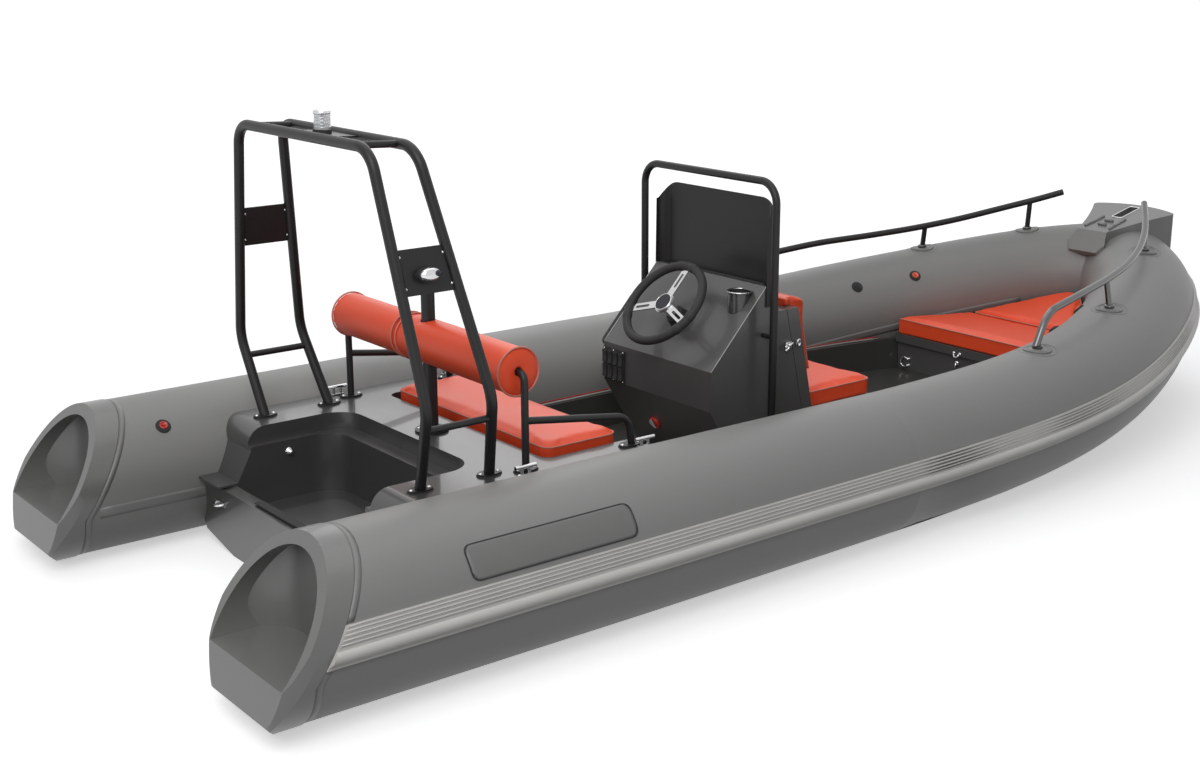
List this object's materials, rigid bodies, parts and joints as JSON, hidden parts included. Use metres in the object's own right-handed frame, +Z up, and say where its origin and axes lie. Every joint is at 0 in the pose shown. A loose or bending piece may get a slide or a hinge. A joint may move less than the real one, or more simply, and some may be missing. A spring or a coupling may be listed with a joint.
{
  "type": "inflatable boat",
  "caption": "Rigid inflatable boat with a V bottom, air tubes, steering console with windscreen, tilting seat box, stern bench, light arch and bow locker.",
  "frame": {"origin": "on the centreline at the waterline, abreast of the console", "axes": "+X to the bow, +Y to port, +Z up"},
  "size_m": [5.6462, 2.3044, 1.7813],
  "materials": {
    "tube_grey": "matt coated fabric",
    "strake_grey": "satin rubber",
    "cap_grey": "grained moulding",
    "hull_dark": "gelcoat",
    "deck_black": "satin gelcoat",
    "cushion": "sewn marine vinyl",
    "black_tube": "powder coat",
    "smoked_glass": "tinted",
    "soft_black": "matt",
    "bright_steel": "polished",
    "red_plastic": "gloss",
    "patch_rubber": "matt rubber",
    "clear_lens": "ribbed"
  },
  "bodies": {
    "hull": {"tube_port": "tube_grey", "tube_starboard": "tube_grey", "rub_strake_port": "strake_grey", "rub_strake_starboard": "strake_grey", "end_cap_port": "cap_grey", "end_cap_starboard": "cap_grey", "hull_bottom": "hull_dark", "transom": "hull_dark", "aft_deck": "deck_black", "stern_cushion": "cushion", "arch_hoop_aft": "black_tube", "arch_hoop_fore": "black_tube", "arch_bars": "black_tube", "arch_plates": "black_tube", "arch_roof": "black_tube", "tow_post": "black_tube", "backrest_frame": "black_tube", "bolster_port": "cushion", "bolster_starboard": "cushion", "console_body": "deck_black", "windscreen": "smoked_glass", "screen_guard": "black_tube", "steering_column": "soft_black", "switch_panel": "soft_black", "cup_holder": "bright_steel", "battery_switch": "red_plastic", "grab_rail": "black_tube", "console_latch": "bright_steel", "module_hinges": "bright_steel", "bow_locker_wall": "deck_black", "bow_deck": "deck_black", "bow_cushion_fore": "cushion", "bow_rail_port": "black_tube", "bow_rail_starboard": "bright_steel", "rail_patches": "tube_grey", "nose_step": "cap_grey", "tube_patches": "patch_rubber", "stern_eyes": "bright_steel", "cleats": "bright_steel", "valves": "soft_black", "mast_light_base": "soft_black", "mast_light_lens": "clear_lens", "side_lights": "soft_black", "transom_pad": "soft_black"},
    "steering_wheel": {"wheel_rim": "soft_black", "wheel_spokes": "bright_steel", "wheel_cap": "soft_black"},
    "seat_module": {"seat_module": "deck_black", "seat_cushion": "cushion", "seat_back_cushion": "cushion", "module_keeper": "bright_steel", "module_knuckles": "bright_steel"},
    "bow_lid": {"bow_lid": "deck_black", "bow_cushion_aft": "cushion"}
  },
  "joints": [
    {"name": "steering", "type": "hinge", "parent": "hull", "child": "steering_wheel", "pos_m": [-0.046, 0, 0.803], "axis": [-0.7285, 0, 0.6851], "range_deg": [-750, 750]},
    {"name": "seat_tilt", "type": "hinge", "parent": "hull", "child": "seat_module", "pos_m": [0.872, 0, 0.15], "axis": [0, 1, 0], "range_deg": [0, 80]},
    {"name": "bow_lid_hinge", "type": "hinge", "parent": "hull", "child": "bow_lid", "pos_m": [2.232, 0, 0.388], "axis": [0, 1, 0], "range_deg": [0, 45]}
  ]
}
